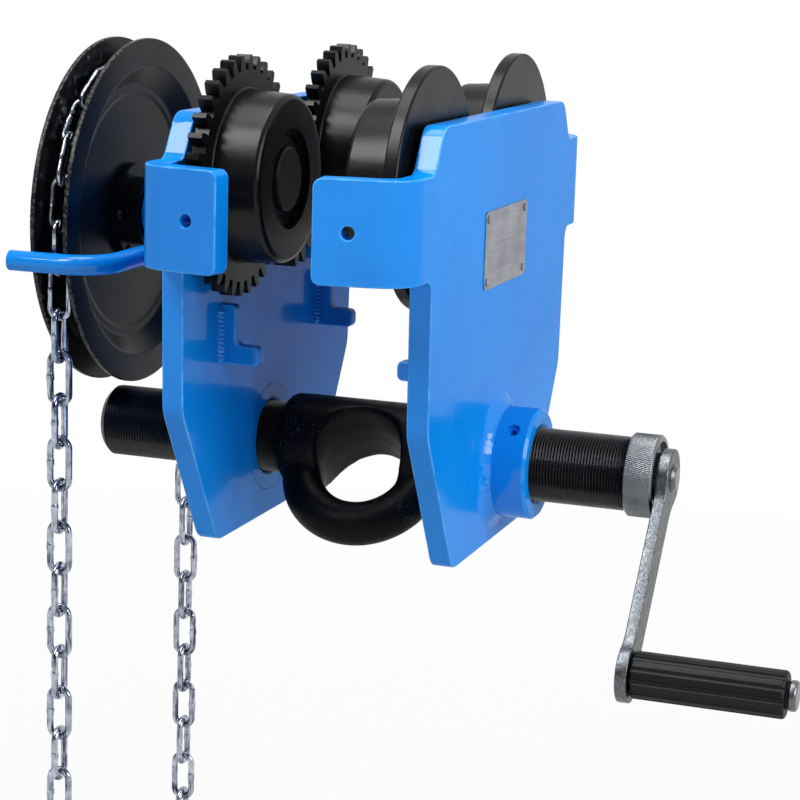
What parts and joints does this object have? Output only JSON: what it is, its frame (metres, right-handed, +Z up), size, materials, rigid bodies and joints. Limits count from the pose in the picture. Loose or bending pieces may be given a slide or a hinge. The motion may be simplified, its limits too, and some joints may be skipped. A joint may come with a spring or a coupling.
{
  "type": "geared beam trolley",
  "caption": "Push-on beam trolley with bent side plates on a twin-threaded load bar with eye, flanged wheels, hand chain wheel drive and adjusting crank",
  "frame": {"origin": "midway between the side plates and between the wheels, on the running surface of the beam's lower flange", "axes": "X along the load bar towards the crank, Y along the beam, Z up"},
  "size_m": [0.5085, 0.392, 0.6743],
  "materials": {
    "blue_paint": "gloss paint",
    "wheel_black": "satin black",
    "chain_wheel_black": "satin black paint on pressed sheet",
    "forged_black": "oiled forging and thread",
    "dark_steel": "blackened steel",
    "bearing_steel": "ground steel",
    "seal_rubber": "matt",
    "bronze": "machined",
    "chain_zinc": "bright zinc plate",
    "crank_zinc": "zinc plate",
    "aluminium": "satin",
    "grip_plastic": "moulded"
  },
  "bodies": {
    "load_bar": {"left_screw": "forged_black", "right_screw": "forged_black"},
    "crank": {"load_eye": "forged_black", "crank_collar": "crank_zinc", "crank_rivet": "crank_zinc", "crank_arm": "crank_zinc", "grip_pin": "crank_zinc"},
    "grip": {"crank_grip": "grip_plastic"},
    "left_side": {"left_side_plate": "blue_paint", "left_plate_wings": "blue_paint", "left_threaded_boss": "blue_paint", "left_lock_screw": "blue_paint", "left_hook_brackets": "blue_paint", "left_welds": "blue_paint", "left_bearing_inner_rings": "bearing_steel", "left_bearing_balls": "bearing_steel", "left_bearing_seals": "seal_rubber", "left_axle_spacers": "dark_steel", "left_front_axle": "dark_steel", "left_rear_axle": "dark_steel", "shaft_housing": "blue_paint", "shaft_bushes": "bronze", "chain_guide": "blue_paint", "hand_chain": "chain_zinc"},
    "right_side": {"right_side_plate": "blue_paint", "right_plate_wings": "blue_paint", "right_threaded_boss": "blue_paint", "right_lock_screw": "blue_paint", "right_hook_brackets": "blue_paint", "right_welds": "blue_paint", "right_bearing_inner_rings": "bearing_steel", "right_bearing_balls": "bearing_steel", "right_bearing_seals": "seal_rubber", "right_axle_spacers": "dark_steel", "right_front_axle": "dark_steel", "right_rear_axle": "dark_steel", "nameplate": "aluminium", "nameplate_rivets": "aluminium"},
    "drive": {"drive_shaft": "dark_steel", "pinion": "dark_steel", "thrust_washer": "bronze", "chain_wheel_inner_disc": "chain_wheel_black", "chain_wheel_outer_disc": "chain_wheel_black", "chain_wheel_hub": "chain_wheel_black", "hub_key": "dark_steel", "disc_rivets": "dark_steel", "shaft_nut": "dark_steel"},
    "left_front_wheel_set": {"left_front_wheel": "wheel_black", "left_front_bearing_outer_rings": "bearing_steel", "left_front_circlip": "dark_steel"},
    "left_rear_wheel_set": {"left_rear_wheel": "wheel_black", "left_rear_bearing_outer_rings": "bearing_steel", "left_rear_circlip": "dark_steel"},
    "right_front_wheel_set": {"right_front_wheel": "wheel_black", "right_front_bearing_outer_rings": "bearing_steel", "right_front_circlip": "dark_steel"},
    "right_rear_wheel_set": {"right_rear_wheel": "wheel_black", "right_rear_bearing_outer_rings": "bearing_steel", "right_rear_circlip": "dark_steel"}
  },
  "joints": [
    {"name": "crank_turn", "type": "hinge", "parent": "load_bar", "child": "crank", "pos_m": [0, 0, -0.13], "axis": [-1, 0, 0], "range_deg": [-2160, 10260]},
    {"name": "left_side_travel", "type": "slide", "parent": "load_bar", "child": "left_side", "axis": [-1, 0, 0], "range_m": [-0.012, 0.057]},
    {"name": "right_side_travel", "type": "slide", "parent": "load_bar", "child": "right_side", "axis": [1, 0, 0], "range_m": [-0.012, 0.057]},
    {"name": "grip_spin", "type": "hinge", "parent": "crank", "child": "grip", "pos_m": [0.25, -0.08716, -0.23388], "axis": [1, 0, 0], "continuous": true},
    {"name": "drive_spin", "type": "hinge", "parent": "left_side", "child": "drive", "pos_m": [-0.1, 0, 0.0156], "axis": [1, 0, 0], "continuous": true},
    {"name": "left_front_wheel_spin", "type": "hinge", "parent": "left_side", "child": "left_front_wheel_set", "pos_m": [-0.05, -0.08798, 0.054], "axis": [1, 0, 0], "continuous": true},
    {"name": "left_rear_wheel_spin", "type": "hinge", "parent": "left_side", "child": "left_rear_wheel_set", "pos_m": [-0.05, 0.08798, 0.054], "axis": [1, 0, 0], "continuous": true},
    {"name": "right_front_wheel_spin", "type": "hinge", "parent": "right_side", "child": "right_front_wheel_set", "pos_m": [0.05, -0.08798, 0.054], "axis": [1, 0, 0], "continuous": true},
    {"name": "right_rear_wheel_spin", "type": "hinge", "parent": "right_side", "child": "right_rear_wheel_set", "pos_m": [0.05, 0.08798, 0.054], "axis": [1, 0, 0], "continuous": true}
  ],
  "couplings": [
    {"joint": "left_side_travel", "follows": "crank_turn", "m_per_rad": 0.0003183},
    {"joint": "right_side_travel", "follows": "crank_turn", "m_per_rad": 0.0003183},
    {"joint": "left_front_wheel_spin", "follows": "drive_spin", "ratio": -0.33333},
    {"joint": "left_rear_wheel_spin", "follows": "drive_spin", "ratio": -0.33333}
  ]
}
